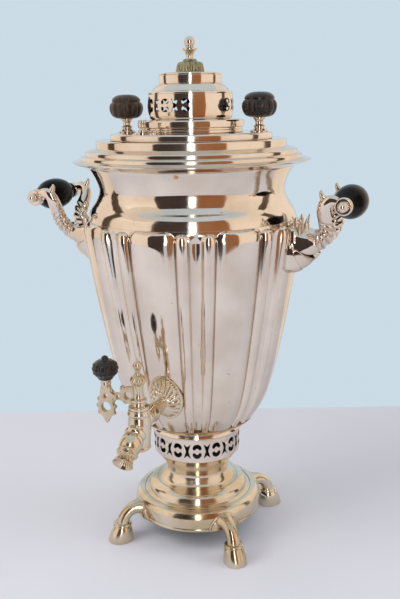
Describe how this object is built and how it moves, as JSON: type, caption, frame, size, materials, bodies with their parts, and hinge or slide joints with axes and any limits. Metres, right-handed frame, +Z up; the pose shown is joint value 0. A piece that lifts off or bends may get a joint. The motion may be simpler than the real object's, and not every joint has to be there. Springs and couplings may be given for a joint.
{
  "type": "samovar",
  "caption": "Charcoal samovar: lobed tapering body on a pierced gallery and hoof feet, stepped lid with chimney crown and damper cap, two bail handles and a turning tap.",
  "frame": {"origin": "on the body's vertical axis, in the plane of the four soles", "axes": "+Z up along the body, -Y towards the tap, +X towards the right-hand handle seen from the tap side"},
  "size_m": [0.3392, 0.2904, 0.498],
  "materials": {
    "plated_metal": "polished silver coloured plate over brass",
    "worn_brass": "polished, plate worn warm",
    "tarnished_brass": "polished with green grey tarnish",
    "inner_brass": "dull tinned brass",
    "sooty_iron": "black and rough",
    "black_lacquered_wood": "glossy black",
    "dark_carved_wood": "carved, worn dark stain"
  },
  "bodies": {
    "root": {"base_skirt": "worn_brass", "pedestal": "worn_brass", "vent_gallery": "plated_metal", "under_bowl": "plated_metal", "body_floor": "plated_metal", "body_wall": "plated_metal", "upper_neck": "plated_metal", "top_ring": "plated_metal", "fire_tube": "inner_brass", "fire_grate": "sooty_iron", "foot_front_right": "worn_brass", "foot_back_right": "worn_brass", "foot_back_left": "worn_brass", "foot_front_left": "worn_brass", "arm_right_back": "plated_metal", "arm_right_front": "plated_metal", "arm_left_back": "plated_metal", "arm_left_front": "plated_metal", "grip_right": "black_lacquered_wood", "grip_left": "black_lacquered_wood", "grip_rod_right": "plated_metal", "grip_rod_left": "plated_metal", "rod_ball_nuts": "plated_metal", "tap_rosette": "worn_brass", "tap_body": "worn_brass"},
    "lid": {"lid": "plated_metal", "lid_collar": "plated_metal", "lid_knob_stem_right": "plated_metal", "lid_knob_stem_left": "plated_metal", "lid_knob_right": "dark_carved_wood", "lid_knob_left": "dark_carved_wood", "lid_knob_nuts": "plated_metal", "vent_seat": "plated_metal"},
    "vent_cap": {"vent_cap": "plated_metal"},
    "crown": {"crown_foot": "plated_metal", "crown_drum": "plated_metal", "crown_shoulder": "plated_metal"},
    "damper": {"damper_cap": "plated_metal", "leaf_cup": "tarnished_brass", "finial": "plated_metal"},
    "tap_key": {"key_plug": "worn_brass", "key_branch": "worn_brass", "key_knob": "dark_carved_wood"}
  },
  "joints": [
    {"name": "lid_lift", "type": "slide", "parent": "root", "child": "lid", "axis": [0, 0, 1], "range_m": [0, 0.09]},
    {"name": "vent_cap_swivel", "type": "hinge", "parent": "lid", "child": "vent_cap", "pos_m": [-0.0108, -0.06441, 0.4127], "axis": [0, 0, 1], "range_deg": [0, 95]},
    {"name": "crown_lift", "type": "slide", "parent": "lid", "child": "crown", "axis": [0, 0, 1], "range_m": [0, 0.08]},
    {"name": "damper_lift", "type": "slide", "parent": "crown", "child": "damper", "axis": [0, 0, 1], "range_m": [0, 0.06]},
    {"name": "tap_key_turn", "type": "hinge", "parent": "root", "child": "tap_key", "pos_m": [0, -0.136, 0.168], "axis": [0, 0, 1], "range_deg": [-40, 220]}
  ]
}
